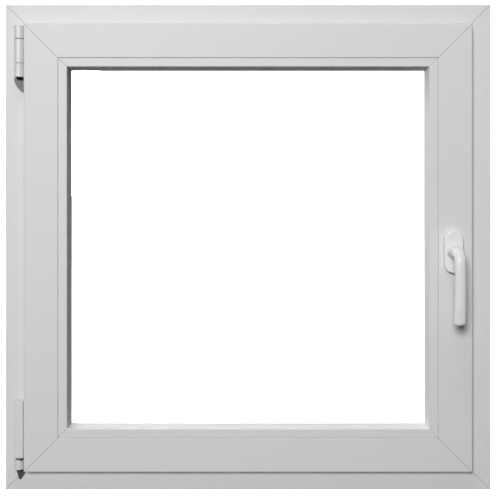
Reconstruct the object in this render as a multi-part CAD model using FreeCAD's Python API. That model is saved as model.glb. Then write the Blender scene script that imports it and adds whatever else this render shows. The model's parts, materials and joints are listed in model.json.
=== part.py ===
import FreeCAD, Part
import math
import os

# A square tilt-and-turn casement window in welded white profiles, in millimetres.
# X runs to the right, Z up, and the room is on the -Y side.
# The origin is the centre of the outer frame's bottom face.
# Profile sections use (u, y): u is the distance in from the frame's outer edge.

V = FreeCAD.Vector

# ---- driving dimensions ----
FRAME_SIZE = 800.0            # width and height over the outer frame
ROOM_FACE = -35.0             # outer frame, face towards the room
STREET_FACE = 35.0            # outer frame, face towards the street
REBATE_U = 42.0               # outer frame, rebate that the sash closes into
STOP_U = 64.0                 # outer frame, inner edge of the stop leg
STOP_Y = 21.0                 # outer frame, stop leg's face towards the sash
LIP_U = 34.0                  # sash, outer edge of the lip that laps over the frame
CORE_U = 54.0                 # sash, edge of the core inside the rebate
GLAZING_U = 90.0              # sash, floor of the glazing rebate
SIGHT_U = 107.5               # sash, inner edge of the glazing beads
LEG_U = 102.0                 # sash, inner edge of the leg on the street side of the glass
SASH_CORNER_R = 3.0           # sash, rounding of its four outer corners
SASH_ROOM = -53.0             # sash, face towards the room
LIP_BACK = -39.0              # sash, back of the lip
SASH_STREET = 17.0            # sash, face towards the street
PANE = 4.0                    # thickness of each glass pane
PANE_U = 93.0                 # edge of the panes
SPACER_U = 96.0               # spacer bar, outer edge
OUTER_GLASS_Y = -4.0          # street side of the sealed glass unit
INNER_GLASS_Y = -28.0         # room side of the sealed glass unit

HINGE_X = -374.4              # vertical hinge line
HINGE_Y = -46.0
TILT_Z = 44.0                 # height of the tilting axis
BARREL_R = 8.0                # outside of the plastic hinge covers
PIN_R = 3.5                   # both hinge pins
RUNNING = 0.05                # radial clearance of a running fit

HANDLE_X = 333.0              # handle spindle
HANDLE_Z = 394.0
GEAR_MODULE = 1.25
GEAR_TEETH = 12
ROD_TRAVEL = math.pi * GEAR_MODULE * GEAR_TEETH / 2.0
CAM_PLACES = {"right": (-160.0, 220.0), "top": (-160.0, ), "bottom": (150.0, )}
SMALL_SCREW = (3.4, 1.9)      # head and shank radius of the hardware screws
HANDLE_SCREW = (4.6, 2.5)

GUIDE_PIN_X = 5.6             # pin on the sash that the stay arm's slot rides on
GUIDE_PIN_R = 3.0
STAY_Z = (750.0, 753.0)       # stay arm plate, between sash and frame head

HALF = FRAME_SIZE / 2.0
CENTRE = V(0, 0, HALF)
SIDES = {"bottom": 0, "right": -90, "top": 180, "left": 90}
FRAME_NODES = {"bottom": "frame_sill", "right": "frame_right_jamb",
               "top": "frame_head", "left": "frame_left_jamb"}
SASH_NODES = {"bottom": "sash_bottom_rail", "right": "sash_right_stile",
              "top": "sash_top_rail", "left": "sash_left_stile"}

parts = {}


# ---- general helpers ----
def box(x, y, z):
    """A block between the (low, high) pairs x, y and z."""
    corner = V(x[0], y[0], z[0])
    return Part.makeBox(x[1] - x[0], y[1] - y[0], z[1] - z[0], corner)


def rod(radius, start, end):
    """A cylinder from one point to another."""
    run = V(*end) - V(*start)
    return Part.makeCylinder(radius, run.Length, V(*start), run)


def ring(outer, inner, x, y, z_low, z_high):
    """An upright tube."""
    tube = rod(outer, (x, y, z_low), (x, y, z_high))
    return tube.cut(rod(inner, (x, y, z_low - 1), (x, y, z_high + 1)))


def fuse(shapes):
    """One solid from touching or overlapping shapes."""
    joined = shapes[0]
    for shape in shapes[1:]:
        joined = joined.fuse(shape)
    return joined.removeSplitter()


def rounded_face(corners, place):
    """A face from (a, b, radius) corners; place(a, b) gives each point in space."""
    edges = []
    joins = []
    for index, (a, b, radius) in enumerate(corners):
        here = V(a, b, 0)
        back = V(*corners[index - 1][:2], 0) - here
        ahead = V(*corners[(index + 1) % len(corners)][:2], 0) - here
        back.normalize()
        ahead.normalize()
        if radius == 0:
            joins.append((here, here))
            continue
        half_angle = back.getAngle(ahead) / 2.0
        middle = back + ahead
        middle.normalize()
        start = here + back * (radius / math.tan(half_angle))
        end = here + ahead * (radius / math.tan(half_angle))
        crown = here + middle * (radius / math.sin(half_angle) - radius)
        joins.append((start, end))
        edges.append(Part.Arc(place(start.x, start.y), place(crown.x, crown.y),
                              place(end.x, end.y)).toShape())
    for index in range(len(corners)):
        start = joins[index][1]
        end = joins[(index + 1) % len(corners)][0]
        if (end - start).Length > 1e-6:
            edges.append(Part.makeLine(place(start.x, start.y), place(end.x, end.y)))
    return Part.Face(Part.Wire(Part.__sortEdges__(edges)))


def rectangle(u, y, radius=0.0):
    """Corner list of a rectangle in a section."""
    return [(u[0], y[0], radius), (u[1], y[0], radius), (u[1], y[1], radius), (u[0], y[1], radius)]


def turned(shape, side):
    """A bottom-side shape carried round to another side of the square window."""
    copy = shape.copy()
    copy.rotate(CENTRE, V(0, 1, 0), SIDES[side])
    return copy


def mitred_bar(outline, chambers=()):
    """The bottom bar of a mitred square ring, extruded from its (u, y) section."""
    def place(u, y):
        return V(-HALF, y, u)
    section = rounded_face(outline, place)
    bar = section.extrude(V(FRAME_SIZE, 0, 0))
    for chamber in chambers:
        bar = bar.cut(rounded_face(chamber, place).extrude(V(FRAME_SIZE, 0, 0)))
    depth = 150.0
    mitre = Part.Face(Part.makePolygon([V(-HALF, -100, 0), V(HALF, -100, 0),
                                        V(HALF - depth, -100, depth),
                                        V(depth - HALF, -100, depth), V(-HALF, -100, 0)]))
    return bar.common(mitre.extrude(V(0, 200, 0)))


def weld_grooves(bar, y, depth):
    """Cut the shallow cleaned weld groove along both mitres of a bar's face."""
    for side in (-1, 1):
        start = (side * (HALF + 5), y, -5)
        end = (side * (HALF - 150), y, 150)
        bar = bar.cut(rod(depth, start, end))
    return bar


def straight_strips(outline):
    """Four mitred strips, one for each side."""
    strip = mitred_bar(outline)
    return {side: turned(strip, side) for side in SIDES}


def screw(head, tip, head_r, shank_r):
    """A countersunk screw with a cross recess, from the middle of its head to its tip."""
    start = V(*head)
    run = V(*tip) - start
    length = run.Length
    run.normalize()
    depth = head_r - shank_r
    body = Part.makeCone(head_r, shank_r, depth, start, run)
    body = body.fuse(Part.makeCylinder(shank_r, length, start, run))
    across = V(0, 0, 1) if abs(run.z) < 0.5 else V(0, 1, 0)
    for direction in (across, across.cross(run)):
        side = direction.cross(run)
        reach = direction * (head_r * 0.55)
        half_width = side * 0.4
        corners = [start - reach - half_width, start + reach - half_width,
                   start + reach + half_width, start - reach + half_width]
        slot = Part.Face(Part.makePolygon(corners + corners[:1])).extrude(run * (depth * 0.7))
        body = body.cut(slot)
    return body


def cone_seat(head, tip, head_r, shank_r):
    """The space a countersunk screw fills."""
    start = V(*head)
    run = V(*tip) - start
    cone = Part.makeCone(head_r, shank_r, head_r - shank_r, start, run)
    return cone.fuse(Part.makeCylinder(shank_r, run.Length, start, run))


def fasten(plate, heads, run, hole_start):
    """Countersink a plate for its screws; gives the plate, the screws and their pilot holes."""
    screws, holes = [], []
    step = V(*run)
    step.normalize()
    for head in heads:
        tip = V(*head) + V(*run)
        plate = plate.cut(cone_seat(head, tip, *SMALL_SCREW))
        screws.append(screw(head, tip, *SMALL_SCREW))
        holes.append(rod(SMALL_SCREW[1], V(*head) + step * hole_start, tip))
    return plate, screws, holes


def stadium(width, height, y, centre=(HANDLE_X, HANDLE_Z)):
    """An upright slab with round ends, seen from the room."""
    radius = width / 2.0
    straight = height / 2.0 - radius
    slab = box((centre[0] - radius, centre[0] + radius), y,
               (centre[1] - straight, centre[1] + straight))
    for end in (-straight, straight):
        slab = slab.fuse(rod(radius, (centre[0], y[0], centre[1] + end),
                             (centre[0], y[1], centre[1] + end)))
    return slab.removeSplitter()


# ---- outer frame ----
ANCHOR_R = 3.75
ANCHOR_Y = -11.0
ANCHOR_OFFSET = 250.0
FRAME_TUBE = ((6.5, 35.5), (-24.5, 2.5))
TUBE_WALL = 2.0


def frame_members():
    """Outer frame bars with their chambers and the groove on the outer edge."""
    outline = [(0, ROOM_FACE, 1.0), (REBATE_U, ROOM_FACE, 2.0), (REBATE_U, STOP_Y, 0.5),
               (STOP_U, STOP_Y, 1.0), (STOP_U - 4, STREET_FACE, 2.0), (0, STREET_FACE, 1.0),
               (0, 22, 0.3), (3, 22, 0.3), (3, 16, 0.3), (0, 16, 0.3),
               (0, -16, 0.3), (3, -16, 0.3), (3, -22, 0.3), (0, -22, 0.3)]
    chambers = [rectangle((6, 36), (-25, 3), 1.0), rectangle((3, 39.5), (-32.2, -27.5), 0.5),
                rectangle((5.5, 39.5), (5.5, 18.5), 1.0), rectangle((5.5, 57), (24, 32), 1.0)]
    bar = mitred_bar(outline, chambers)
    bar = weld_grooves(bar, ROOM_FACE, 0.5)
    bar = weld_grooves(bar, STREET_FACE, 0.5)
    return {side: turned(bar, side) for side in SIDES}


def tube_bars(section, inset):
    """Square-cut steel tubes for the main chambers of the four bars."""
    (u_low, u_high), (y_low, y_high) = section
    half_length = HALF - inset
    outer = box((-half_length, half_length), (y_low, y_high), (u_low, u_high))
    inner = box((-half_length - 1, half_length + 1), (y_low + TUBE_WALL, y_high - TUBE_WALL),
                (u_low + TUBE_WALL, u_high - TUBE_WALL))
    tube = outer.cut(inner)
    return {side: turned(tube, side) for side in SIDES}


def anchor_holes():
    """Fixing holes through both jambs and the head."""
    reach = REBATE_U + 2
    holes = []
    for offset in (-ANCHOR_OFFSET, ANCHOR_OFFSET):
        hole = rod(ANCHOR_R, (offset, ANCHOR_Y, -1), (offset, ANCHOR_Y, reach))
        holes += [turned(hole, side) for side in ("left", "right", "top")]
    return Part.makeCompound(holes)


def frame_gasket():
    """Compression seal on the stop leg, facing the sash."""
    outline = [(56, STOP_Y, 0), (62, STOP_Y, 0), (61.5, 18.6, 0.8), (59, 17.4, 1.0), (56.5, 18.6, 0.8)]
    return straight_strips(outline)


def drain_caps():
    """Hooded covers over the drain slots on the street side of the sill."""
    caps = []
    for x in (-250.0, 250.0):
        cap = box((x - 16, x + 16), (STREET_FACE, STREET_FACE + 3), (9, 19))
        cap = cap.makeFillet(1.2, [edge for edge in cap.Edges
                                   if edge.BoundBox.YMin > STREET_FACE + 2.9])
        cap = cap.cut(box((x - 12, x + 12), (STREET_FACE - 1, STREET_FACE + 2), (8, 16)))
        caps.append(cap)
    return Part.makeCompound(caps)


# ---- strikers ----
STRIKER_T = 2.5
STRIKER_HALF = 32.0
STRIKER_SCREW_OFFSET = 24.0


def strikers():
    """Plates in the frame rebate that the locking cams run past, with their screws."""
    top = REBATE_U + STRIKER_T
    plates, screws, seats = [], [], []
    for side, places in CAM_PLACES.items():
        for along in places:
            plate = box((along - STRIKER_HALF, along + STRIKER_HALF), (-34, -12), (REBATE_U, top))
            lip = box((along - 26, along + 26), (-34, -31.8), (REBATE_U, top + 1.1))
            heads = [(along + offset, -16.5, top)
                     for offset in (-STRIKER_SCREW_OFFSET, STRIKER_SCREW_OFFSET)]
            plate = plate.fuse(lip).removeSplitter()
            plate, plate_screws, holes = fasten(plate, heads, (0, 0, -12.5), 0)
            plates.append(turned(plate, side))
            screws += [turned(item, side) for item in plate_screws]
            seats += [turned(item, side) for item in holes]
    return plates, screws, seats


# ---- top hinge: stay bearing ----
BARREL_TUBE_R = 6.4
LOW_Z = (678.5, 700.8)        # lowest length of the top hinge
MID_Z = (701.4, 740.6)        # middle length, fixed to the frame
TOP_Z = (741.4, 763.0)        # top length, on the stay arm
TAIL_Z = 656.0


def stay_bearing():
    """Frame-side bracket with its barrel, back plate, tail and rebate leg."""
    barrel = ring(BARREL_TUBE_R, PIN_R + RUNNING, HINGE_X, HINGE_Y, LOW_Z[0], MID_Z[1])
    bridge = box((-378.5, -370.5), (-41.2, -35.0), (LOW_Z[0], MID_Z[1]))

    def place(x, z):
        return V(x, -38.0, z)
    left, right = -381.5, -366.6
    shoulder = place(-385.4, LOW_Z[0])
    heel = place(-372.0, TAIL_Z + 0.2)
    toe = place(right, TAIL_Z + 4.5)
    edges = [Part.Arc(shoulder, place(-381.4, 666.0), heel).toShape(),
             Part.Arc(heel, place(-368.2, TAIL_Z + 0.9), toe).toShape(),
             Part.makeLine(toe, place(right, MID_Z[1])),
             Part.makeLine(place(right, MID_Z[1]), place(left, MID_Z[1])),
             Part.makeLine(place(left, MID_Z[1]), place(left, LOW_Z[0] + 2)),
             Part.makeLine(place(left, LOW_Z[0] + 2), shoulder)]
    plate = Part.Face(Part.Wire(Part.__sortEdges__(edges))).extrude(V(0, 3, 0))
    behind_lip = box((-368, -355), (-38, -35), (694, 738))
    leg = box((-358, -355), (-38, -14), (694, 738))
    bracket = fuse([barrel, bridge, plate, behind_lip, leg])
    return bracket.cut(rod(PIN_R + RUNNING, (HINGE_X, HINGE_Y, 650), (HINGE_X, HINGE_Y, 770)))


def barrel_shell(z, closed_top=False):
    """A plastic sleeve round a hinge barrel, open at its back."""
    outer = rod(BARREL_R, (HINGE_X, HINGE_Y, z[0]), (HINGE_X, HINGE_Y, z[1]))
    rims = [edge for edge in outer.Edges if isinstance(edge.Curve, Part.Circle)]
    outer = outer.makeFillet(0.6, rims)
    inner_top = z[1] - 1.2 if closed_top else z[1] + 1
    shell = outer.cut(rod(BARREL_TUBE_R + 0.1, (HINGE_X, HINGE_Y, z[0] - 1),
                          (HINGE_X, HINGE_Y, inner_top)))
    return shell.cut(box((-390, -360), (HINGE_Y + 3.5, -30), (z[0] - 1, inner_top)))


def stay_bearing_cover():
    """The two sleeves that stay on the frame."""
    return Part.makeCompound([barrel_shell(MID_Z), barrel_shell(LOW_Z)])


def stay_arm():
    """Knuckle, cranked band and slotted plate of the stay arm."""
    knuckle = rod(BARREL_TUBE_R, (HINGE_X, HINGE_Y, TOP_Z[0]), (HINGE_X, HINGE_Y, TOP_Z[1] - 1.6))
    band_z = (744.0, 757.0)
    bridge = box((-376.4, -370.8), (-41.4, -35.5), band_z)
    band = box((-376.4, -349.0), (-38.5, -35.5), band_z)
    crank = box((-352.0, -349.0), (-38.5, -19.0), (STAY_Z[0], band_z[1]))
    plate = box((-352.0, GUIDE_PIN_X + 18), (-34.0, -18.0), STAY_Z)
    arm = fuse([knuckle, bridge, band, crank, plate])
    corners = [edge for edge in arm.Edges
               if edge.BoundBox.XMin > GUIDE_PIN_X + 17 and edge.BoundBox.ZLength > 2.9]
    arm = arm.makeFillet(5.0, corners)
    arm = arm.cut(rod(5.06, (HINGE_X, HINGE_Y, 740), (HINGE_X, HINGE_Y, 765)))
    slot_r = GUIDE_PIN_R + 1.5
    start = V(GUIDE_PIN_X, -26, STAY_Z[0] - 1)
    radial = V(GUIDE_PIN_X - HINGE_X, -26 - HINGE_Y, 0)
    radial.normalize()
    sideways = V(-radial.y, radial.x, 0)
    end = start + radial * 8.4
    corners = [start + sideways * slot_r, end + sideways * slot_r,
               end - sideways * slot_r, start - sideways * slot_r]
    slot = Part.Face(Part.makePolygon(corners + corners[:1])).extrude(V(0, 0, 6))
    for point in (start, end):
        slot = slot.fuse(Part.makeCylinder(slot_r, 6, point))
    return arm.cut(slot)


# ---- bottom hinge: corner bearing ----
BLOCK_Z = (38.0, 53.0)
BAND_Z = (60.0, 148.0)
COVER_Z = (57.5, 150.0)
FOOT_R = 4.5
FOOT_X = (-378.9, -369.9)
SOCKET_TOP = 118.0
EAR_X = (-378.2, -374.0)      # ears on the block's plastic cap
EAR_R = 1.9
COVER_RIGHT_X = -370.8


def corner_bearing():
    """Frame-side block that carries the pin's foot, with its back plate and rebate leg."""
    block = rod(6.6, (HINGE_X, HINGE_Y, BLOCK_Z[0]), (HINGE_X, HINGE_Y, BLOCK_Z[1]))
    block = block.fuse(box((-381, -367.8), (HINGE_Y, -35), BLOCK_Z))
    outline = [(-381.6, 53, 0), (-381.6, 34, 1), (-376.2, 17, 0.8), (-366.6, 30, 1), (-366.6, 53, 0)]
    plate = rounded_face(outline, lambda x, z: V(x, -38, z)).extrude(V(0, 3, 0))
    behind_lip = box((-368, -355), (-38, -35), (43.5, 53))
    leg = box((-358, -355), (-38, -14), (43.5, 53))
    bracket = fuse([block, plate, behind_lip, leg])
    foot_space = rod(FOOT_R + RUNNING, (FOOT_X[0] - 0.1, HINGE_Y, TILT_Z),
                     (FOOT_X[1] + 0.1, HINGE_Y, TILT_Z))
    neck_space = box((HINGE_X - 3.9, HINGE_X + 3.9), (HINGE_Y - 5.4, HINGE_Y + 3.9),
                     (TILT_Z, BLOCK_Z[1] + 1))
    return bracket.cut(foot_space).cut(neck_space)


def corner_bearing_cover():
    """Thin plastic cap round the block, open on its right, with two small ears on top."""
    outer_r, inner_r = 7.4, 6.62
    outer = rod(outer_r, (HINGE_X, HINGE_Y, BLOCK_Z[0]), (HINGE_X, HINGE_Y, BLOCK_Z[1]))
    outer = outer.fuse(box((HINGE_X - outer_r, HINGE_X + outer_r), (HINGE_Y, -38.2), BLOCK_Z))
    ear_wall = rod(outer_r, (HINGE_X, HINGE_Y, BLOCK_Z[1]), (HINGE_X, HINGE_Y, BLOCK_Z[1] + 2))
    for x in EAR_X:
        ear = rod(EAR_R, (x, HINGE_Y - 8, BLOCK_Z[1]), (x, HINGE_Y, BLOCK_Z[1]))
        outer = outer.fuse(ear_wall.common(ear))
    inner = rod(inner_r, (HINGE_X, HINGE_Y, BLOCK_Z[0] - 1), (HINGE_X, HINGE_Y, BLOCK_Z[1] + 3))
    inner = inner.fuse(box((HINGE_X - inner_r, HINGE_X + inner_r), (HINGE_Y, -30), (30, 60)))
    open_side = box((COVER_RIGHT_X, -360), (-60, -30), (30, 60))
    return outer.removeSplitter().cut(inner).cut(open_side)


def corner_pin():
    """Upright hinge pin on a round foot that lets it lean into the room."""
    foot = rod(FOOT_R, (FOOT_X[0], HINGE_Y, TILT_Z), (FOOT_X[1], HINGE_Y, TILT_Z))
    pin = rod(PIN_R, (HINGE_X, HINGE_Y, TILT_Z), (HINGE_X, HINGE_Y, SOCKET_TOP - 4))
    tip = Part.makeCone(PIN_R, PIN_R - 1, 1.5, V(HINGE_X, HINGE_Y, SOCKET_TOP - 4))
    return fuse([foot, pin, tip])


def corner_band():
    """Sash-side socket with the leaf that reaches behind the lip to the sash core."""
    socket = rod(5.0, (HINGE_X, HINGE_Y, COVER_Z[0] + 1), (HINGE_X, HINGE_Y, SOCKET_TOP))
    bridge = box((-376.4, -370.6), (-41.8, -35.6), (BAND_Z[0], SOCKET_TOP))
    leaf = box((-376.4, -346), (-38.6, -35.6), BAND_Z)
    leg = box((-349, -346), (-38.6, -17.0), BAND_Z)
    band = fuse([socket, bridge, leaf, leg])
    return band.cut(rod(PIN_R + RUNNING, (HINGE_X, HINGE_Y, 50), (HINGE_X, HINGE_Y, SOCKET_TOP - 2)))


def corner_band_cover():
    """Flat-fronted plastic cover over the sash-side socket."""
    outline = [(-381.0, -53.9, 1.6), (-366.2, -53.9, 1.6), (-366.2, -39.2, 0), (-381.0, -39.2, 0)]
    shell = rounded_face(outline, lambda x, y: V(x, y, COVER_Z[0])).extrude(
        V(0, 0, COVER_Z[1] - COVER_Z[0]))
    top = [edge for edge in shell.Edges if edge.BoundBox.ZMin > COVER_Z[1] - 0.1
           and edge.BoundBox.YMax < -39.3]
    shell = shell.makeFillet(1.2, top)
    inside = box((-379.7, -367.5), (-52.5, -30), (COVER_Z[0] - 1, COVER_Z[1] - 1.6))
    return shell.cut(inside)


# ---- sash ----
SASH_TUBE = ((65.0, 87.0), (-39.0, -4.0))
POCKET = ((318.5, 346.5), (-36.5, -15.0), (353.0, 435.0))


def sash_members():
    """Sash bars with lip, core, glazing rebate and street-side leg."""
    outline = [(LIP_U, SASH_ROOM, 2.5), (GLAZING_U, SASH_ROOM, 0.8), (GLAZING_U, 0, 0.5),
               (LEG_U, 0, 0.8), (LEG_U - 8, SASH_STREET, 1.0), (CORE_U, SASH_STREET, 2.0),
               (CORE_U, -18, 0), (CORE_U + 2, -18, 0), (CORE_U + 2, -20, 0), (CORE_U + 8, -20, 0),
               (CORE_U + 8, -32, 0), (CORE_U + 2, -32, 0), (CORE_U + 2, -34, 0), (CORE_U, -34, 0),
               (CORE_U, LIP_BACK, 0), (LIP_U, LIP_BACK, 1.0)]
    chambers = [rectangle((64.5, 87.5), (-39.5, -3.5), 0.5),
                rectangle((57, 87.5), (-50.2, -42), 0.8),
                rectangle((57, 87.5), (-1, 14.2), 0.8),
                [(90, 2.6, 0.5), (97.8, 2.6, 0.5), (92.6, 14.2, 0.5), (90, 14.2, 0.5)],
                rectangle((57, 62), (-15.5, -3.5), 0.5)]
    bar = mitred_bar(outline, chambers)
    bar = weld_grooves(bar, SASH_ROOM, 0.5)
    bar = weld_grooves(bar, SASH_STREET, 0.5)
    low, high = LIP_U - HALF, HALF - LIP_U
    corners = [(low, LIP_U, SASH_CORNER_R), (high, LIP_U, SASH_CORNER_R),
               (high, HALF + high, SASH_CORNER_R), (low, HALF + high, SASH_CORNER_R)]
    envelope = rounded_face(corners, lambda x, z: V(x, SASH_ROOM - 5, z)).extrude(V(0, 90, 0))
    bar = bar.common(envelope)
    return {side: turned(bar, side) for side in SIDES}


def sash_gasket():
    """Soft seal behind the sash lip, broken where the hinge leaves pass."""
    outline = [(44.5, LIP_BACK, 0), (51, LIP_BACK, 0), (50, -35.5, 1.2), (45.5, -35.5, 1.2)]
    strips = straight_strips(outline)
    left = strips["left"].cut(box((-360, -340), (-45, -30), (30, 152)))
    left = left.cut(box((-360, -340), (-45, -30), (690, 770)))
    strips["left"] = left
    strips["bottom"] = strips["bottom"].cut(box((-360, -352), (-45, -30), (30, 60)))
    strips["top"] = strips["top"].cut(box((-360, -345), (-45, -30), (740, 770)))
    return strips


def glazing_beads():
    """Clip-in beads that hold the glass from the room side."""
    outline = [(GLAZING_U + 0.2, SASH_ROOM + 1.2, 0.8), (104.6, SASH_ROOM + 1.2, 1.6),
               (SIGHT_U, INNER_GLASS_Y - 2.5, 0.5), (GLAZING_U + 0.2, INNER_GLASS_Y - 2.5, 0.3)]
    chamber = [(GLAZING_U + 2, SASH_ROOM + 3, 0.5), (102.8, SASH_ROOM + 3, 1.0),
               (105, INNER_GLASS_Y - 4.5, 0.5), (GLAZING_U + 2, INNER_GLASS_Y - 4.5, 0.5)]
    bar = weld_grooves(mitred_bar(outline, [chamber]), SASH_ROOM + 1.2, 0.3)
    return {side: turned(bar, side) for side in SIDES}


def pane(y_low):
    """One sheet of glass."""
    half = HALF - PANE_U
    return box((-half, half), (y_low, y_low + PANE), (HALF - half, HALF + half))


def glazing_packers():
    """Load-bearing blocks between the panes' edges and the glazing rebate."""
    packers = []
    for side, places in {"bottom": (-230, 230), "top": (-230, 230),
                         "left": (-230, 230), "right": (-200, 260)}.items():
        for place in places:
            block = box((place - 50, place + 50), (INNER_GLASS_Y, OUTER_GLASS_Y), (GLAZING_U, PANE_U))
            packers.append(turned(block, side))
    return Part.makeCompound(packers)


# ---- locking hardware round the sash ----
GROOVE_Y = -26.0              # middle of the hardware groove
PLATE_Y = (-34.0, -18.0)
ROD_Y = (-31.0, -21.0)
ROD_U = (56.2, 57.9)
CAM_R = 5.0
CAM_TIP_U = 47.5
DRIVE_END = 312.0             # where the faceplates meet the corner drives, from the middle


def travel_slot(low, radius, depth):
    """A round-ended slot as long as the rods' travel, along a bottom bar."""
    high = low + ROD_TRAVEL
    slot = box((low, high), (GROOVE_Y - radius, GROOVE_Y + radius), depth)
    for end in (low, high):
        slot = slot.fuse(rod(radius, (end, GROOVE_Y, depth[0]), (end, GROOVE_Y, depth[1])))
    return slot


def faceplate(side, low, high, screw_places):
    """A steel faceplate in the sash groove, slotted for the cams, with its screws and holes."""
    plate = box((low, high), PLATE_Y, (CORE_U, CORE_U + 2))
    for place in CAM_PLACES[side]:
        plate = plate.cut(travel_slot(place - ROD_TRAVEL, 3.5, (CORE_U - 1, CORE_U + 3)))
    heads = [(place, GROOVE_Y, CORE_U) for place in screw_places]
    plate, screws, holes = fasten(plate, heads, (0, 0, 16), 5)
    return (turned(plate, side), [turned(item, side) for item in screws],
            [turned(item, side) for item in holes])


def drive_rod(side, span, screw_places):
    """A flat rod behind a faceplate, slotted where the faceplate's screws pass."""
    bar = box(span, ROD_Y, ROD_U)
    for place in screw_places:
        bar = bar.cut(travel_slot(place, 2.4, (ROD_U[0] - 1, ROD_U[1] + 1)))
    return turned(bar, side)


def cams(side):
    """Locking cams: a stem on the rod and a round head that stands into the rebate."""
    solids = []
    for place in CAM_PLACES[side]:
        stem = rod(3.0, (place, GROOVE_Y, ROD_U[0]), (place, GROOVE_Y, 50.5))
        head = rod(CAM_R, (place, GROOVE_Y, 51.0), (place, GROOVE_Y, CAM_TIP_U))
        head = head.makeFillet(0.8, [edge for edge in head.Edges
                                     if isinstance(edge.Curve, Part.Circle)])
        solids.append(turned(stem.fuse(head).removeSplitter(), side))
    return Part.makeCompound(solids)


def rack_teeth():
    """Rack teeth on the back of the side rod, in mesh with the pinion at rest."""
    pitch = math.pi * GEAR_MODULE
    pitch_x = HANDLE_X + GEAR_MODULE * GEAR_TEETH / 2.0
    root_x = HALF - ROD_U[1]
    addendum = 0.85
    slope = math.tan(math.radians(20))
    half_pitch_line = pitch / 4.0 - 0.12
    half_root = half_pitch_line + (root_x - pitch_x) * slope
    half_tip = half_pitch_line - addendum * slope
    teeth = []
    for index in range(-2, 8):
        z = HANDLE_Z + (index + 0.5) * pitch
        corners = [V(root_x, ROD_Y[0], z - half_root), V(pitch_x - addendum, ROD_Y[0], z - half_tip),
                   V(pitch_x - addendum, ROD_Y[0], z + half_tip), V(root_x, ROD_Y[0], z + half_root)]
        face = Part.Face(Part.makePolygon(corners + corners[:1]))
        teeth.append(face.extrude(V(0, ROD_Y[1] - ROD_Y[0], 0)))
    return teeth


def pinion():
    """Involute pinion on the spindle, with a hub at each end and a square hole."""
    pitch_r = GEAR_MODULE * GEAR_TEETH / 2.0
    base_r = pitch_r * math.cos(math.radians(20))
    tip_r = pitch_r + GEAR_MODULE
    root_r = pitch_r - 1.2
    tooth_half = math.pi / (2 * GEAR_TEETH) - 0.12 / pitch_r
    pitch_roll = math.sqrt((pitch_r / base_r) ** 2 - 1)
    pitch_turn = pitch_roll - math.atan(pitch_roll)

    def flank(radius, side):
        """Angle of the flank at a radius, from the tooth's middle."""
        roll = math.sqrt(max((radius / base_r) ** 2 - 1, 0))
        return side * (tooth_half + pitch_turn - (roll - math.atan(roll)))

    def point(radius, angle):
        return V(HANDLE_X + radius * math.cos(angle), ROD_Y[0], HANDLE_Z + radius * math.sin(angle))
    middle_r = (base_r + tip_r) / 2.0
    edges = []
    for index in range(GEAR_TEETH):
        middle = 2 * math.pi * index / GEAR_TEETH
        following = middle + 2 * math.pi / GEAR_TEETH
        tops = []
        for side in (-1, 1):
            foot = point(root_r, middle + flank(base_r, side))
            start = point(base_r, middle + flank(base_r, side))
            halfway = point(middle_r, middle + flank(middle_r, side))
            tops.append(point(tip_r, middle + flank(tip_r, side)))
            edges.append(Part.makeLine(foot, start))
            edges.append(Part.Arc(start, halfway, tops[-1]).toShape())
        edges.append(Part.Arc(tops[0], point(tip_r, middle), tops[1]).toShape())
        valley = point(root_r, middle + math.pi / GEAR_TEETH)
        next_foot = point(root_r, following + flank(base_r, -1))
        edges.append(Part.Arc(foot, valley, next_foot).toShape())
    gear = Part.Face(Part.Wire(Part.__sortEdges__(edges))).extrude(V(0, ROD_Y[1] - ROD_Y[0], 0))
    for y in ((-34.5, ROD_Y[0]), (ROD_Y[1], -17.5)):
        gear = gear.fuse(rod(6.0, (HANDLE_X, y[0], HANDLE_Z), (HANDLE_X, y[1], HANDLE_Z)))
    return gear.cut(square_bar(SPINDLE_HALF + RUNNING, (-40, -10)))


def gearbox_case():
    """Die-cast case round the pinion and the rack, in a pocket of the right stile."""
    case = box((319.0, 343.9), (-36.0, -15.5), (354.0, 434.0))
    case = case.cut(box((323.6, 345), (-31.3, -20.7), (384.5, 403.5)))
    case = case.cut(box((339.2, 345), (-31.3, -20.7), (353, 435)))
    return case.cut(rod(6.06, (HANDLE_X, -40, HANDLE_Z), (HANDLE_X, -10, HANDLE_Z)))


def corner_drives():
    """Angled housings that lead the drive from one faceplate round to the next."""
    reach = HALF - CORE_U
    upright = box((reach - 2, reach), PLATE_Y, (HALF + DRIVE_END, HALF + reach))
    level = box((DRIVE_END - 20, reach), PLATE_Y, (HALF + reach - 2, HALF + reach))
    upright_case = box((reach - 8, reach - 2), (-32, -20), (HALF + DRIVE_END + 4, HALF + reach - 2))
    level_case = box((DRIVE_END, reach - 2), (-32, -20), (HALF + reach - 8, HALF + reach - 2))
    top = fuse([upright, level, upright_case, level_case])
    bottom = top.mirror(CENTRE, V(0, 0, 1))
    return Part.makeCompound([top, bottom])


# ---- handle ----
SCREW_SPACING = 43.0
ROSETTE_Y = -64.0
GRIP_FRONT = -111.0           # room side of the grip
GRIP_LOW = 278.0              # lower end of the grip
GRIP_HALF = 9.0
SPINDLE_HALF = 3.5
SPINDLE_FRONT = -84.0


def rosette_cover():
    """Plastic cover that hides the handle screws."""
    shell = stadium(31, 69, (ROSETTE_Y, SASH_ROOM))
    rim = [edge for edge in shell.Edges if edge.BoundBox.YMax < ROSETTE_Y + 0.01]
    shell = shell.makeFillet(2.2, rim)
    shell = shell.cut(stadium(28, 66, (ROSETTE_Y + 2.2, SASH_ROOM + 1)))
    return shell.cut(rod(10.3, (HANDLE_X, ROSETTE_Y - 1, HANDLE_Z), (HANDLE_X, SASH_ROOM, HANDLE_Z)))


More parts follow.
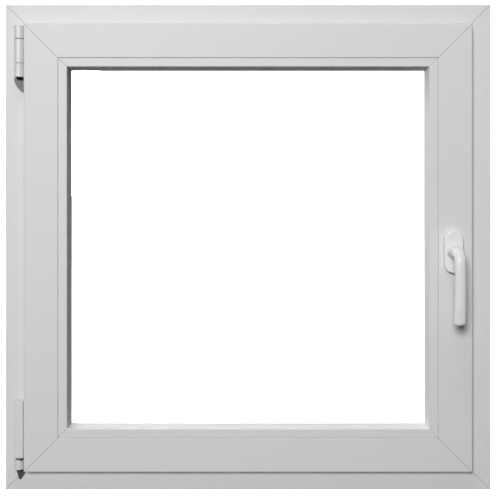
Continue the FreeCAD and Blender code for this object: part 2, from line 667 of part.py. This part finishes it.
def rosette_base():
    """Inner plate with the handle's bearing collar."""
    plate = stadium(27.6, 65.6, (-58.0, SASH_ROOM))
    collar = rod(12.4, (HANDLE_X, -61.6, HANDLE_Z), (HANDLE_X, -58, HANDLE_Z))
    base = plate.fuse(collar)
    return base.cut(rod(9.06, (HANDLE_X, -62, HANDLE_Z), (HANDLE_X, -50, HANDLE_Z)))


def handle_lever():
    """Neck, bend and gently bowed grip, with all long edges rounded."""
    x_low = HANDLE_X - GRIP_HALF
    neck_low, neck_high = HANDLE_Z - GRIP_HALF, HANDLE_Z + GRIP_HALF
    front_top, back_top = GRIP_FRONT + 3.0, GRIP_FRONT + 17.0

    def p(y, z):
        return V(x_low, y, z)
    edges = [Part.makeLine(p(-66, neck_low), p(-66, neck_high)),
             Part.makeLine(p(-66, neck_high), p(front_top + 22, HANDLE_Z + 12.5)),
             Part.Arc(p(front_top + 22, HANDLE_Z + 12.5), p(front_top + 5, HANDLE_Z + 7.5),
                      p(front_top, HANDLE_Z - 9)).toShape(),
             Part.Arc(p(front_top, HANDLE_Z - 9), p(GRIP_FRONT, 340), p(front_top + 3, GRIP_LOW)).toShape(),
             Part.makeLine(p(front_top + 3, GRIP_LOW), p(front_top + 14, GRIP_LOW + 1)),
             Part.Arc(p(front_top + 14, GRIP_LOW + 1), p(GRIP_FRONT + 11.5, 335),
                      p(back_top - 2, HANDLE_Z - 24)).toShape(),
             Part.Arc(p(back_top - 2, HANDLE_Z - 24), p(back_top + 3.5, HANDLE_Z - 13.5),
                      p(-72, neck_low)).toShape(),
             Part.makeLine(p(-72, neck_low), p(-66, neck_low))]
    lever = Part.Face(Part.Wire(Part.__sortEdges__(edges))).extrude(V(2 * GRIP_HALF, 0, 0))
    rims = [edge for edge in lever.Edges if edge.BoundBox.YMax < -66.5
            and edge.BoundBox.XLength < 0.1]
    lever = lever.makeFillet(3.6, rims)
    collar = rod(GRIP_HALF, (HANDLE_X, -66.5, HANDLE_Z), (HANDLE_X, SASH_ROOM - 0.3, HANDLE_Z))
    lever = lever.fuse(collar)
    return lever.cut(square_bar(SPINDLE_HALF, (SPINDLE_FRONT, -50)))


def square_bar(half, y):
    """A square bar on the handle's axis."""
    return box((HANDLE_X - half, HANDLE_X + half), y, (HANDLE_Z - half, HANDLE_Z + half))


# ---- assembly ----
SIDE_NAMES = {"right": "side", "top": "top", "bottom": "bottom"}
PLATE_SPANS = {"right": (-DRIVE_END, DRIVE_END), "top": (20.0 - DRIVE_END, 330.0),
               "bottom": (-20.0, DRIVE_END - 20.0)}
PLATE_SCREWS = {"right": (-305.0, -60.0, 110.0, 300.0), "top": (-60.0, -250.0),
                "bottom": (60.0, 250.0)}
ROD_SPANS = {"right": (-274.0, 304.0), "top": (-280.0, -40.0), "bottom": (40.0, 280.0)}
ROD_SCREWS = {"right": PLATE_SCREWS["right"][1:], "top": PLATE_SCREWS["top"],
              "bottom": PLATE_SCREWS["bottom"]}


def compound(shapes):
    """Loose solids kept together in one sub-part."""
    return Part.makeCompound(list(shapes))


def build_hinges():
    """Both hinges' frame-side pieces; gives the pilot holes of their screws."""
    heads = [(-355.0, -22.0, z) for z in (702.0, 716.0, 730.0)]
    stay_bracket, stay_screws, stay_holes = fasten(stay_bearing(), heads, (-13, 0, 0), 2)
    heads = [(-355.0, y, 48.2) for y in (-28.0, -19.0)]
    corner_bracket, corner_screws, corner_holes = fasten(corner_bearing(), heads, (-13, 0, 0), 2)
    parts["stay_bearing_bracket"] = stay_bracket
    parts["stay_bearing_cover"] = stay_bearing_cover()
    parts["stay_pin"] = rod(PIN_R, (HINGE_X, HINGE_Y, 679.5), (HINGE_X, HINGE_Y, 760.5))
    parts["corner_bearing_bracket"] = corner_bracket
    parts["corner_bearing_cover"] = corner_bearing_cover()
    parts["corner_pin"] = corner_pin()
    parts["bearing_screws"] = compound(stay_screws + corner_screws)
    return stay_holes + corner_holes


def build_frame():
    """Outer frame members with everything fixed to them."""
    bars = frame_members()
    anchors = anchor_holes()
    plates, screws, seats = strikers()
    cutters = compound(seats + build_hinges())
    for side, node in FRAME_NODES.items():
        parts[node] = bars[side].cut(anchors).cut(cutters)
    tubes = tube_bars(FRAME_TUBE, 42.0).values()
    parts["frame_reinforcements"] = compound(tube.cut(anchors).cut(cutters) for tube in tubes)
    parts["frame_gasket"] = compound(frame_gasket().values())
    parts["drain_caps"] = drain_caps()
    parts["striker_plates"] = compound(plates)
    parts["striker_screws"] = compound(screws)


def build_handle_fixings():
    """Handle base, gearbox case and their two screws; gives the openings in the right stile."""
    base, case = rosette_base(), gearbox_case()
    openings = [box(*POCKET), rod(10.0, (HANDLE_X, -60, HANDLE_Z), (HANDLE_X, -30, HANDLE_Z))]
    screws = []
    for offset in (-SCREW_SPACING / 2, SCREW_SPACING / 2):
        head = (HANDLE_X, -58.0, HANDLE_Z + offset)
        tip = (HANDLE_X, -31.8, HANDLE_Z + offset)
        hole = rod(HANDLE_SCREW[1], head, tip)
        screws.append(screw(head, tip, *HANDLE_SCREW))
        base = base.cut(cone_seat(head, tip, *HANDLE_SCREW))
        case = case.cut(hole)
        openings.append(hole)
    parts["rosette_base"] = base
    parts["rosette_cover"] = rosette_cover()
    parts["handle_screws"] = compound(screws)
    parts["gearbox_case"] = case
    return openings


def build_locking():
    """Faceplates, drive rods and cams on three sides; gives the faceplate screws' holes."""
    screws, holes = [], []
    for side, name in SIDE_NAMES.items():
        plate, plate_screws, plate_holes = faceplate(side, *PLATE_SPANS[side], PLATE_SCREWS[side])
        parts[name + "_faceplate"] = plate
        parts[name + "_drive_rod"] = drive_rod(side, ROD_SPANS[side], ROD_SCREWS[side])
        parts[name + "_cams"] = cams(side)
        screws += plate_screws
        holes += plate_holes
    parts["side_drive_rod"] = fuse([parts["side_drive_rod"]] + rack_teeth())
    parts["faceplate_screws"] = compound(screws)
    parts["corner_drives"] = corner_drives()
    return holes


def build_sash_members(openings, holes):
    """The four welded members and the steel tubes in them, cut for the hardware."""
    bars = sash_members()
    tubes = tube_bars(SASH_TUBE, 92.0)
    for opening in openings:
        bars["right"] = bars["right"].cut(opening)
        tubes["right"] = tubes["right"].cut(opening)
    cutters = compound(holes)
    for side, node in SASH_NODES.items():
        parts[node] = bars[side].cut(cutters)
    parts["sash_reinforcements"] = compound(tube.cut(cutters) for tube in tubes.values())
    parts["sash_gasket"] = compound(sash_gasket().values())


def build_glazing():
    """Beads, seals and the sealed glass unit."""
    cavity = (INNER_GLASS_Y + PANE, OUTER_GLASS_Y - PANE)
    seal_u = SPACER_U + 0.5
    strips = {"outer_glazing_gasket": rectangle((seal_u, LEG_U - 0.3), (OUTER_GLASS_Y, 0), 0.4),
              "inner_glazing_gasket": rectangle((seal_u, SIGHT_U + 0.2),
                                                (INNER_GLASS_Y - 2.5, INNER_GLASS_Y), 0.5),
              "spacer_bar": rectangle((SPACER_U, LEG_U), cavity, 0.6),
              "edge_sealant": rectangle((PANE_U, SPACER_U), cavity)}
    for name, outline in strips.items():
        parts[name] = compound(straight_strips(outline).values())
    for side, bead in glazing_beads().items():
        parts["glazing_bead_" + side] = bead
    parts["outer_pane"] = pane(OUTER_GLASS_Y - PANE)
    parts["inner_pane"] = pane(INNER_GLASS_Y)
    parts["glazing_packers"] = glazing_packers()


def build_sash():
    """The glazed sash with its hardware, apart from what the handle moves."""
    heads = [(-349.0, GROOVE_Y, z) for z in (76.0, 104.0, 132.0)]
    band, band_screws, band_holes = fasten(corner_band(), heads, (16, 0, 0), 2)
    parts["corner_band"] = band
    parts["corner_band_cover"] = corner_band_cover()
    parts["corner_band_screws"] = compound(band_screws)
    parts["stay_guide_pin"] = rod(GUIDE_PIN_R, (GUIDE_PIN_X, GROOVE_Y, 746),
                                  (GUIDE_PIN_X, GROOVE_Y, 755.5))
    build_sash_members(build_handle_fixings(), build_locking() + band_holes)
    build_glazing()


def build_handle_and_stay():
    """What turns with the handle, and the stay arm with its bush and cover."""
    parts["handle_lever"] = handle_lever()
    parts["spindle"] = square_bar(SPINDLE_HALF, (SPINDLE_FRONT, -17.5))
    parts["pinion"] = pinion()
    parts["stay_bush"] = ring(5.0, PIN_R + RUNNING, HINGE_X, HINGE_Y, TOP_Z[0] + 0.1, 760.5)
    parts["stay_arm"] = stay_arm()
    parts["stay_knuckle_cover"] = barrel_shell(TOP_Z, closed_top=True)


def main():
    os.makedirs("parts", exist_ok=True)
    build_frame()
    build_sash()
    build_handle_and_stay()
    for node, shape in parts.items():
        shape.exportStep("parts/" + node + ".step")
        print(node, len(shape.Solids), shape.isValid(), round(shape.Volume / 1000, 2))


main()
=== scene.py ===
import json
import math
import bmesh
import bpy
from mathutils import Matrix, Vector


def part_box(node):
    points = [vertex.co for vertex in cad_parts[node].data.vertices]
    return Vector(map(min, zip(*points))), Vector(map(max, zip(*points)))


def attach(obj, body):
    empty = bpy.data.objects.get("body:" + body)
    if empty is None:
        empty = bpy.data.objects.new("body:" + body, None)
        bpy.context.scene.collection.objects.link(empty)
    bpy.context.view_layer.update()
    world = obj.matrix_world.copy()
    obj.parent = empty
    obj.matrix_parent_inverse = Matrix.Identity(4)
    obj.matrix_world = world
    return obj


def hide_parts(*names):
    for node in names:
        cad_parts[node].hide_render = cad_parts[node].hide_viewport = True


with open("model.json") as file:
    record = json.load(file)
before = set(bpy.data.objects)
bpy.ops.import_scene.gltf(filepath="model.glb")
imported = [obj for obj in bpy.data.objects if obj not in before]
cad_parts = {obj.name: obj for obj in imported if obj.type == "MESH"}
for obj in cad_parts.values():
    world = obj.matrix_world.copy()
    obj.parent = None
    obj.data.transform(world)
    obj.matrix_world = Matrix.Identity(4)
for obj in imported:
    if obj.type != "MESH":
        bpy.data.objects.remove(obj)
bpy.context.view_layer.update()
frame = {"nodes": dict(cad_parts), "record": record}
nodes = frame["nodes"]

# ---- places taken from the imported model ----
SILL_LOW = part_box("frame_sill")[0]
HEAD_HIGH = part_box("frame_head")[1]
SPINDLE_LOW, SPINDLE_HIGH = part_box("spindle")
ROSETTE_FACE_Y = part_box("rosette_cover")[0].y
WINDOW_SIZE = HEAD_HIGH.z - SILL_LOW.z
ROOM_FACE_Y = SILL_LOW.y
CENTRE = Vector((0, 0, (SILL_LOW.z + HEAD_HIGH.z) / 2))
SPINDLE_X = (SPINDLE_LOW.x + SPINDLE_HIGH.x) / 2
SPINDLE_Z = (SPINDLE_LOW.z + SPINDLE_HIGH.z) / 2
MM = 0.001


# ---- node helpers ----
class Shader:
    """A small wrapper that keeps node trees readable."""

    def __init__(self, name):
        self.material = bpy.data.materials.new(name)
        self.material.use_nodes = True
        self.tree = self.material.node_tree
        self.tree.nodes.clear()
        self.output = self.add("ShaderNodeOutputMaterial")
        self.place = self.add("ShaderNodeTexCoord").outputs["Object"]

    def add(self, kind, **settings):
        node = self.tree.nodes.new(kind)
        for key, value in settings.items():
            setattr(node, key, value)
        return node

    def link(self, source, target):
        self.tree.links.new(source, target)

    def stretched(self, scale):
        """Object coordinates scaled apart along X, Y and Z."""
        mapping = self.add("ShaderNodeMapping")
        mapping.inputs["Scale"].default_value = scale
        self.link(self.place, mapping.inputs["Vector"])
        return mapping.outputs["Vector"]

    def noise(self, scale, detail=2.0, roughness=0.5, vector=None):
        node = self.add("ShaderNodeTexNoise")
        node.inputs["Scale"].default_value = scale
        node.inputs["Detail"].default_value = detail
        node.inputs["Roughness"].default_value = roughness
        self.link(vector or self.place, node.inputs["Vector"])
        return node.outputs["Fac"]

    def ramp(self, source, stops):
        """Colours by value; stops are (position, colour)."""
        node = self.add("ShaderNodeValToRGB")
        points = node.color_ramp.elements
        while len(points) < len(stops):
            points.new(0.5)
        for point, (position, colour) in zip(points, stops):
            point.position = position
            point.color = (*colour, 1)
        self.link(source, node.inputs["Fac"])
        return node.outputs["Color"]

    def span(self, source, low, high, source_low=0.0, source_high=1.0):
        """Map a value onto a range."""
        node = self.add("ShaderNodeMapRange")
        node.inputs["From Min"].default_value = source_low
        node.inputs["From Max"].default_value = source_high
        node.inputs["To Min"].default_value = low
        node.inputs["To Max"].default_value = high
        self.link(source, node.inputs["Value"])
        return node.outputs["Result"]

    def math(self, operation, *values):
        node = self.add("ShaderNodeMath", operation=operation)
        for index, value in enumerate(values):
            if isinstance(value, (int, float)):
                node.inputs[index].default_value = value
            else:
                self.link(value, node.inputs[index])
        return node.outputs["Value"]

    def mix(self, factor, first, second):
        node = self.add("ShaderNodeMix", data_type="RGBA")
        for index, value in ((0, factor), (6, first), (7, second)):
            if isinstance(value, (int, float)):
                node.inputs[index].default_value = value
            elif isinstance(value, tuple):
                node.inputs[index].default_value = (*value, 1)
            else:
                self.link(value, node.inputs[index])
        return node.outputs[2]

    def bump(self, height, strength, distance, under=None):
        node = self.add("ShaderNodeBump")
        node.inputs["Strength"].default_value = strength
        node.inputs["Distance"].default_value = distance
        self.link(height, node.inputs["Height"])
        if under is not None:
            self.link(under, node.inputs["Normal"])
        return node.outputs["Normal"]

    def rounded(self, radius):
        """Normals eased round the edges, so that they catch the light."""
        node = self.add("ShaderNodeBevel", samples=6)
        node.inputs["Radius"].default_value = radius
        return node.outputs["Normal"]

    def principled(self, colour, roughness, normal=None, **constants):
        node = self.add("ShaderNodeBsdfPrincipled")
        self.link(colour, node.inputs["Base Color"])
        self.link(roughness, node.inputs["Roughness"])
        if normal is not None:
            self.link(normal, node.inputs["Normal"])
        for key, value in constants.items():
            node.inputs[key.replace("_", " ")].default_value = value
        self.link(node.outputs["BSDF"], self.output.inputs["Surface"])
        return node


# ---- materials ----
PVC_EDGE = 0.0012             # radius of the profiles' edges
MOULDED_EDGE = 0.0014         # radius of the moulded covers' edges
WELD_NEAR, WELD_FAR = 0.0002, 0.0009    # where the weld line's dust and painted groove shade fade out
# strength of the weld line's darkening: dust plus painted shade of the groove
WELD_DUST_AND_SHADE = 0.34


def pvc(name, grain_axis):
    """Extruded white profile: faint drawing lines along its length, fine orange peel, soft tint drift."""
    s = Shader(name)
    along = [260.0, 260.0, 260.0]
    along[grain_axis] = 3.0
    lines = s.noise(1.0, 3.0, 0.6, s.stretched(along))
    drift = s.noise(2.3, 2.0, 0.5)
    mottle = s.noise(34.0, 4.0, 0.6)
    peel = s.noise(900.0, 2.0, 0.5)
    tint = s.ramp(drift, [(0.3, (0.775, 0.79, 0.785)), (0.5, (0.79, 0.795, 0.79)),
                          (0.7, (0.785, 0.785, 0.80))])
    lined = s.mix(s.span(lines, 0.0, 0.035, 0.35, 0.65), tint, (0.70, 0.705, 0.70))
    colour = s.mix(s.span(mottle, 0.0, 0.05, 0.4, 0.75), lined, (0.68, 0.69, 0.68))
    rough = s.span(s.noise(60.0, 3.0, 0.6), 0.50, 0.56, 0.3, 0.7)
    fine = s.bump(peel, 0.10, 0.0004, s.rounded(PVC_EDGE))
    normal = s.bump(lines, 0.12, 0.0003, fine)
    # the weld line mixes the colour towards grey: partly dust, partly painted shade of the groove
    s.principled(s.mix(weld_dust_and_shade(s), colour, (0.45, 0.455, 0.45)), rough, normal,
                 IOR=1.53, Specular_IOR_Level=0.32)
    return s.material


def weld_dust_and_shade(s):
    """Dust held in the cleaned weld groove along the 45 degree mitres, with the groove's shade painted in
    as well: a thin darker line.
    """
    split = s.add("ShaderNodeSeparateXYZ")
    s.link(s.place, split.inputs["Vector"])
    across = s.math("ABSOLUTE", split.outputs["X"])
    height = s.math("ABSOLUTE", s.math("SUBTRACT", split.outputs["Z"], CENTRE.z))
    distance = s.math("ABSOLUTE", s.math("SUBTRACT", across, height))
    line = s.span(distance, WELD_DUST_AND_SHADE, 0.0, WELD_NEAR, WELD_FAR)
    return s.math("MULTIPLY", line, s.span(s.noise(45.0, 3.0, 0.6), 0.55, 1.0, 0.3, 0.7))


def moulded_white(name, colour, rough_low, rough_high, peel_scale, coat=0.0):
    """Moulded or powder-coated white: fine texture, slight warm and cool drift, duller rubbed patches."""
    s = Shader(name)
    drift = s.noise(18.0, 2.0, 0.5)
    rub = s.noise(95.0, 5.0, 0.65)
    darker = tuple(channel * 0.955 for channel in colour)
    base = s.mix(s.span(drift, 0.0, 1.0, 0.35, 0.65), colour, darker)
    tinted = s.mix(s.span(rub, 0.0, 0.06, 0.5, 0.8), base, (0.62, 0.62, 0.60))
    rough = s.span(rub, rough_low, rough_high, 0.3, 0.7)
    normal = s.bump(s.noise(peel_scale, 2.0, 0.5), 0.12, 0.0003, s.rounded(MOULDED_EDGE))
    s.principled(tinted, rough, normal, IOR=1.5, Coat_Weight=coat, Coat_Roughness=0.15)
    return s.material


def zinc_steel(name, colour, rough_low, rough_high):
    """Zinc-plated steel: rolled streaks, faint spangle and dull spots."""
    s = Shader(name)
    cells = s.add("ShaderNodeTexVoronoi")
    cells.inputs["Scale"].default_value = 240.0
    s.link(s.place, cells.inputs["Vector"])
    streaks = s.noise(1.0, 4.0, 0.65, s.stretched((500.0, 500.0, 16.0)))
    stain = s.noise(38.0, 5.0, 0.7)
    dark = tuple(channel * 0.72 for channel in colour)
    spangle = s.mix(s.span(cells.outputs["Distance"], 0.0, 0.5), colour, dark)
    stained = s.mix(s.span(stain, 0.0, 0.45, 0.48, 0.78), spangle, tuple(c * 0.5 for c in colour))
    rough = s.span(streaks, rough_low, rough_high, 0.3, 0.7)
    normal = s.bump(streaks, 0.18, 0.0003)
    s.principled(stained, rough, normal, Metallic=1.0)
    return s.material


def dark_metal(name):
    """Dark passivated bracket: nearly black, with worn lighter scratches."""
    s = Shader(name)
    scratches = s.noise(1.0, 6.0, 0.7, s.stretched((900.0, 900.0, 60.0)))
    wear = s.noise(150.0, 5.0, 0.7)
    base = s.ramp(wear, [(0.3, (0.06, 0.063, 0.06)), (0.6, (0.11, 0.114, 0.107)),
                         (0.85, (0.22, 0.22, 0.21))])
    colour = s.mix(s.span(scratches, 0.0, 0.5, 0.62, 0.8), base, (0.25, 0.25, 0.24))
    rough = s.span(wear, 0.38, 0.6, 0.3, 0.7)
    s.principled(colour, rough, s.bump(scratches, 0.15, 0.0003), Metallic=0.6)
    return s.material


def rubber(name, colour):
    """Soft extruded seal with bloom and fine pores."""
    s = Shader(name)
    bloom = s.noise(70.0, 4.0, 0.65)
    paler = tuple(min(1.0, channel * 1.35 + 0.01) for channel in colour)
    base = s.mix(s.span(bloom, 0.0, 0.6, 0.4, 0.75), colour, paler)
    rough = s.span(bloom, 0.6, 0.8, 0.3, 0.7)
    s.principled(base, rough, s.bump(s.noise(1600.0, 2.0, 0.5), 0.2, 0.0002), Specular_IOR_Level=0.3)
    return s.material


def cast_zinc(name):
    """As-cast zinc: grainy skin with darker flow marks."""
    s = Shader(name)
    flow = s.noise(60.0, 5.0, 0.7)
    grain = s.noise(1400.0, 2.0, 0.5)
    base = s.ramp(flow, [(0.3, (0.36, 0.36, 0.37)), (0.7, (0.55, 0.55, 0.56))])
    s.principled(base, s.span(grain, 0.42, 0.58, 0.3, 0.7), s.bump(grain, 0.3, 0.0003), Metallic=0.9)
    return s.material


def clear_glass(name):
    """Float glass: clear, with a trace of green and of haze."""
    s = Shader(name)
    haze = s.noise(6.0, 3.0, 0.6)
    tint = s.ramp(haze, [(0.3, (0.985, 0.995, 0.991)), (0.7, (0.978, 0.991, 0.985))])
    s.principled(tint, s.span(haze, 0.0, 0.012, 0.45, 0.8), None,
                 IOR=1.45, Transmission_Weight=1.0)
    return s.material


def let_light_through():
    """The panes cast no shadow, so the lamps reach what is behind them."""
    for node in ("outer_pane", "inner_pane"):
        nodes[node].visible_shadow = False


def build_materials():
    return {
        "pvc_upright": pvc("pvc_upright", 2),
        "pvc_level": pvc("pvc_level", 0),
        "cover_plastic": moulded_white("cover_plastic", (0.80, 0.815, 0.79), 0.28, 0.42, 1100.0),
        "handle_coating": moulded_white("handle_coating", (0.93, 0.93, 0.92), 0.30, 0.42, 1500.0, 0.1),
        "galvanised_steel": zinc_steel("galvanised_steel", (0.66, 0.67, 0.67), 0.28, 0.45),
        "hardware_steel": zinc_steel("hardware_steel", (0.62, 0.61, 0.57), 0.22, 0.38),
        "dark_steel": dark_metal("dark_steel"),
        "seal_rubber": rubber("seal_rubber", (0.035, 0.036, 0.036)),
        "glazing_seal": rubber("glazing_seal", (0.50, 0.51, 0.50)),
        "zinc_casting": cast_zinc("zinc_casting"),
        "nylon": moulded_white("nylon", (0.14, 0.15, 0.17), 0.45, 0.6, 900.0),
        "pane_glass": clear_glass("pane_glass"),
        "spacer_aluminium": zinc_steel("spacer_aluminium", (0.75, 0.75, 0.75), 0.3, 0.45),
        "edge_seal": rubber("edge_seal", (0.02, 0.02, 0.02)),
    }


LEVEL_BARS = {"frame_head", "frame_sill", "sash_top_rail", "sash_bottom_rail",
              "glazing_bead_top", "glazing_bead_bottom"}


def dress_cad_nodes(materials):
    """Give each CAD node the material of its slot."""
    for row in frame["record"]["subparts"]:
        node, slot = row["node"], row["material_slot"]
        if slot == "white_pvc":
            slot = "pvc_level" if node in LEVEL_BARS else "pvc_upright"
        if node == "rosette_cover":
            slot = "handle_coating"
        mesh = nodes[node].data
        mesh.materials.clear()
        mesh.materials.append(materials[slot])


# ---- handle lever ----
# Millimetres from the spindle's axis and the rosette's face.
NECK_OUT = 24.0               # straight neck, then the bend
NECK_HALF = (10.0, 9.8)       # half width and half thickness
FOOT_FLARE = 2.5              # the neck widens to meet the rosette
FOOT_FADE = 2.6
BEND_RADIUS = 16.4
BEND_END = 87.0               # degrees
GRIP_HALF_TOP = (8.8, 6.4)
GRIP_HALF_TIP = (9.7, 5.5)
GRIP_END = 108.0              # down to the tip's rounding
GRIP_RISE = 4.5               # the grip bows out, then back towards the sash
GRIP_FALL = 8.0
TIP_ROUNDING = ((0.96, 2.4), (0.86, 4.0), (0.66, 5.2), (0.35, 5.8))
BEND_STEPS = 5
GRIP_STEPS = 6
FOOT_ROWS = (-0.1, 0.9, 3.0, 8.0, 16.0, NECK_OUT)
LEVER_RING = 24
LEVER_POWER = 2.15            # of the rounded section: 2 is an oval


def blend(first, second, share):
    return [a + (b - a) * share for a, b in zip(first, second)]


def lever_stations():
    """Rows of outward, down, half width, half thickness and turn in degrees, from foot to tip."""
    rows = []
    for out in FOOT_ROWS:
        flare = FOOT_FLARE * math.exp(-out / FOOT_FADE)
        rows.append((out, 0.0, NECK_HALF[0] + flare, NECK_HALF[1] + flare, 0.0))
    for step in range(1, BEND_STEPS + 1):
        share = step / BEND_STEPS
        turn = BEND_END * share
        angle = math.radians(turn)
        out = NECK_OUT + BEND_RADIUS * math.sin(angle)
        down = BEND_RADIUS * (1 - math.cos(angle))
        rows.append((out, down, *blend(NECK_HALF, GRIP_HALF_TOP, share), turn))
    top_out, top_down = rows[-1][:2]
    length = GRIP_END - top_down
    for step in range(1, GRIP_STEPS + 1):
        share = step / GRIP_STEPS
        out = top_out + GRIP_RISE * share - GRIP_FALL * share ** 2
        slope = (GRIP_RISE - 2 * GRIP_FALL * share) / length
        turn = 90 - math.degrees(math.atan(slope))
        rows.append((out, top_down + share * length,
                     *blend(GRIP_HALF_TOP, GRIP_HALF_TIP, share), turn))
    return rows


def lever_ring(bm, station, scale=1.0, push=0.0):
    """One squared-oval ring of vertices across the lever."""
    out, down, half_width, half_thick, turn = station
    angle = math.radians(turn)
    along = Vector((0, -math.cos(angle), -math.sin(angle)))
    across = Vector((0, -math.sin(angle), math.cos(angle)))
    middle = Vector((SPINDLE_X, ROSETTE_FACE_Y - out * MM, SPINDLE_Z - down * MM)) + along * push * MM
    ring = []
    for index in range(LEVER_RING):
        t = 2 * math.pi * index / LEVER_RING
        c, s = math.cos(t), math.sin(t)
        a = math.copysign(abs(c) ** (2 / LEVER_POWER), c) * half_width * scale
        b = math.copysign(abs(s) ** (2 / LEVER_POWER), s) * half_thick * scale
        ring.append(bm.verts.new(middle + Vector((a * MM, 0, 0)) + across * (b * MM)))
    return ring


def make_lever(material):
    """Smooth lever lofted through its stations, with a rounded tip."""
    bm = bmesh.new()
    stations = lever_stations()
    rings = [lever_ring(bm, station) for station in stations]
    tip = stations[-1]
    for scale, push in TIP_ROUNDING:
        rings.append(lever_ring(bm, tip, scale, push))
    for first, second in zip(rings, rings[1:]):
        for index in range(LEVER_RING):
            following = (index + 1) % LEVER_RING
            bm.faces.new((first[index], first[following], second[following], second[index]))
    bm.faces.new(rings[0][::-1])
    bm.faces.new(rings[-1])
    bmesh.ops.recalc_face_normals(bm, faces=bm.faces)
    mesh = bpy.data.meshes.new("lever_body")
    bm.to_mesh(mesh)
    bm.free()
    lever = bpy.data.objects.new("lever_body", mesh)
    bpy.context.scene.collection.objects.link(lever)
    for polygon in mesh.polygons:
        polygon.use_smooth = True
    smooth = lever.modifiers.new("smooth", "SUBSURF")
    smooth.levels = smooth.render_levels = 2
    mesh.materials.append(material)
    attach(lever, "handle")
    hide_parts("handle_lever")


# ---- stage, light and camera ----
CAMERA_DISTANCE = 1.40        # from the frame's room face
CAMERA_HEIGHT = 0.07          # above the window's middle
WINDOW_SHARE = 0.9698         # the frame's width as a share of the picture's
MIDDLE_SHARE = (-0.0038, -0.0054)   # the window's middle from the picture's, right and down
SENSOR = 36.0                 # millimetres
SEEN_STRENGTH = 1.3           # white surroundings where they are seen
FILL_STRENGTH = 0.04          # the same where they light the window
FLOOR_REACH = 12.0
FLOOR_GLOW = 1.5
FLOOR_SEEN = 0.85
FLOOR_BOUNCE = 0.15
# name, direction from the window's middle, distance, side of the square, power
LIGHTS = (
    ("key", (-0.23, -1.0, 0.36), 5.0, 1.4, 173.0),
    ("top", (-0.05, -0.4, 1.0), 3.0, 0.6, 14.0),
    ("back", (-0.4, 0.8, 1.0), 3.0, 0.6, 13.0),
    ("behind", (-0.45, 1.0, 0.25), 5.0, 2.0, 36.0),
    ("side", (1.0, 0.04, 0.3), 4.0, 0.6, 14.0),
)


def make_camera():
    data = bpy.data.cameras.new("camera")
    camera = bpy.data.objects.new("camera", data)
    bpy.context.scene.collection.objects.link(camera)
    camera.location = (0, ROOM_FACE_Y - CAMERA_DISTANCE, CENTRE.z + CAMERA_HEIGHT)
    camera.rotation_euler = (math.radians(90), 0, 0)
    data.sensor_width = SENSOR
    data.lens = SENSOR * CAMERA_DISTANCE * WINDOW_SHARE / WINDOW_SIZE
    rise = CAMERA_HEIGHT * WINDOW_SHARE / WINDOW_SIZE
    data.shift_x = -MIDDLE_SHARE[0]
    data.shift_y = -(rise - MIDDLE_SHARE[1])
    data.clip_end = 60.0
    bpy.context.scene.camera = camera


def seen_or_lighting(tree, bright, plain):
    """The bright shader where it is seen, also through glass; the plain one where it lights."""

    def combine(operation, first, second):
        node = tree.nodes.new("ShaderNodeMath")
        node.operation = operation
        node.use_clamp = True
        tree.links.new(first, node.inputs[0])
        tree.links.new(second, node.inputs[1])
        return node.outputs["Value"]

    path = tree.nodes.new("ShaderNodeLightPath").outputs
    seen = combine("MAXIMUM", path["Is Camera Ray"], path["Is Transmission Ray"])
    scattered = combine("ADD", path["Diffuse Depth"], path["Glossy Depth"])
    direct = combine("SUBTRACT", seen, scattered)
    blend = tree.nodes.new("ShaderNodeMixShader")
    tree.links.new(direct, blend.inputs["Fac"])
    tree.links.new(plain, blend.inputs[1])
    tree.links.new(bright, blend.inputs[2])
    return blend.outputs["Shader"]


def make_world():
    world = bpy.data.worlds.new("studio")
    bpy.context.scene.world = world
    world.use_nodes = True
    tree = world.node_tree
    tree.nodes.clear()
    seen = tree.nodes.new("ShaderNodeBackground")
    seen.inputs["Color"].default_value = (1, 1, 1, 1)
    seen.inputs["Strength"].default_value = SEEN_STRENGTH
    fill = tree.nodes.new("ShaderNodeBackground")
    fill.inputs["Color"].default_value = (0.93, 0.97, 1.0, 1)
    fill.inputs["Strength"].default_value = FILL_STRENGTH
    output = tree.nodes.new("ShaderNodeOutputWorld")
    tree.links.new(seen_or_lighting(tree, seen.outputs["Background"], fill.outputs["Background"]),
                   output.inputs["Surface"])


def make_floor():
    mesh = bpy.data.meshes.new("floor")
    corners = [(x * FLOOR_REACH, y * FLOOR_REACH, 0) for x, y in ((-1, -1), (1, -1), (1, 1), (-1, 1))]
    mesh.from_pydata(corners, [], [(0, 1, 2, 3)])
    floor = bpy.data.objects.new("floor", mesh)
    floor.location.z = SILL_LOW.z
    bpy.context.scene.collection.objects.link(floor)
    material = bpy.data.materials.new("pale_floor")
    material.use_nodes = True
    tree = material.node_tree
    tree.nodes.clear()
    pale = tree.nodes.new("ShaderNodeBsdfDiffuse")
    pale.inputs["Color"].default_value = (FLOOR_SEEN,) * 3 + (1,)
    glow = tree.nodes.new("ShaderNodeEmission")
    glow.inputs["Strength"].default_value = FLOOR_GLOW
    both = tree.nodes.new("ShaderNodeAddShader")
    tree.links.new(pale.outputs["BSDF"], both.inputs[0])
    tree.links.new(glow.outputs["Emission"], both.inputs[1])
    dim = tree.nodes.new("ShaderNodeBsdfDiffuse")
    dim.inputs["Color"].default_value = (FLOOR_BOUNCE,) * 3 + (1,)
    output = tree.nodes.new("ShaderNodeOutputMaterial")
    tree.links.new(seen_or_lighting(tree, both.outputs["Shader"], dim.outputs["BSDF"]),
                   output.inputs["Surface"])
    mesh.materials.append(material)


def area_light(name, direction, distance, size, power):
    """A square soft light aimed at the window's middle."""
    data = bpy.data.lights.new(name, "AREA")
    data.shape = "SQUARE"
    data.size = size
    data.energy = power
    light = bpy.data.objects.new(name, data)
    bpy.context.scene.collection.objects.link(light)
    towards = Vector(direction).normalized()
    light.location = CENTRE + towards * distance
    light.rotation_euler = (-towards).to_track_quat("-Z", "Y").to_euler()


def main():
    materials = build_materials()
    dress_cad_nodes(materials)
    let_light_through()
    make_lever(materials["handle_coating"])
    make_world()
    make_floor()
    for light in LIGHTS:
        area_light(*light)
    make_camera()
    bpy.context.scene.view_settings.view_transform = "Standard"


main()
